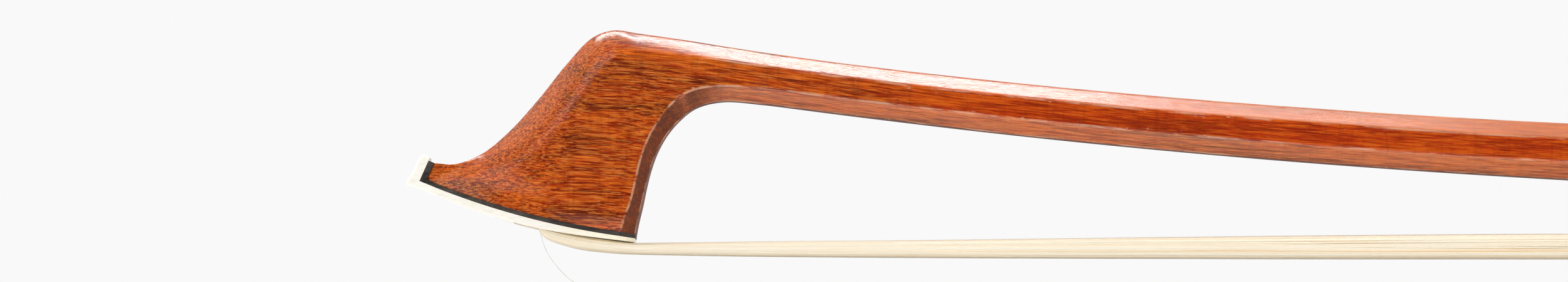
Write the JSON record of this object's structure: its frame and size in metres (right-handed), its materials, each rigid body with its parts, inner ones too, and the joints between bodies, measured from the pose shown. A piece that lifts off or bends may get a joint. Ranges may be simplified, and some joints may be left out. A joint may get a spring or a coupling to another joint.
{
  "type": "cello bow",
  "caption": "Cello bow at rest with its hair slack: curved octagonal stick with a carved head and white tip plate, flat hair, sliding frog, screw and button.",
  "frame": {"origin": "centre of the flat pearl eye in the button's end, on the handle's axis", "axes": "+X along the hair from the head towards the button, +Z from the hair up to the stick, +Y across the bow, with the bow's middle plane at Y 0"},
  "size_m": [0.715, 0.0144, 0.0327],
  "materials": {
    "pernambuco": "varnished red-brown pernambuco",
    "ebony": "polished black ebony",
    "tip_white": "polished ivory-white",
    "horsehair": "natural off-white hair",
    "maple": "plain whittled wood",
    "thread": "waxed binding thread",
    "leather": "dark brown grained",
    "winding_wire": "drawn silver wire",
    "nickel_silver": "polished nickel silver",
    "pearl": "mother-of-pearl",
    "brass": "turned brass",
    "steel": "turned and threaded steel"
  },
  "bodies": {
    "stick_body": {"stick": "pernambuco", "tip_liner": "ebony", "tip_plate": "tip_white", "head_plug": "maple", "head_knot": "thread", "hair": "horsehair", "thumb_leather": "leather", "winding": "winding_wire"},
    "frog_body": {"frog": "ebony", "underslide": "nickel_silver", "underslide_screw_1": "nickel_silver", "underslide_screw_2": "nickel_silver", "eyelet": "brass", "ferrule": "nickel_silver", "spread_wedge": "maple", "frog_plug": "maple", "frog_knot": "thread", "pearl_slide": "pearl", "slide_backing": "ebony", "heel_plate_back": "nickel_silver", "heel_plate_bottom": "nickel_silver", "heel_pin_1": "nickel_silver", "heel_pin_2": "nickel_silver", "heel_pin_3": "nickel_silver", "heel_pin_4": "nickel_silver", "pearl_eye_left": "pearl", "pearl_eye_right": "pearl", "eye_ring_left": "nickel_silver", "eye_ring_right": "nickel_silver"},
    "button_body": {"screw": "steel", "button_core": "ebony", "button_eye": "pearl", "button_ring_front": "nickel_silver", "button_ring_back": "nickel_silver", "button_pin_front_left": "nickel_silver", "button_pin_front_right": "nickel_silver", "button_pin_back_left": "nickel_silver", "button_pin_back_right": "nickel_silver"}
  },
  "joints": [
    {"name": "screw_turn", "type": "hinge", "parent": "stick_body", "child": "button_body", "pos_m": [0, 0, 0], "axis": [-0.9988, 0, -0.0487], "range_deg": [0, 2880]},
    {"name": "frog_slide", "type": "slide", "parent": "stick_body", "child": "frog_body", "axis": [0.9988, 0, 0.0487], "range_m": [0, 0.006], "deforming": ["hair"]}
  ],
  "couplings": [
    {"joint": "screw_turn", "follows": "frog_slide", "rad_per_m": 8377.5}
  ]
}
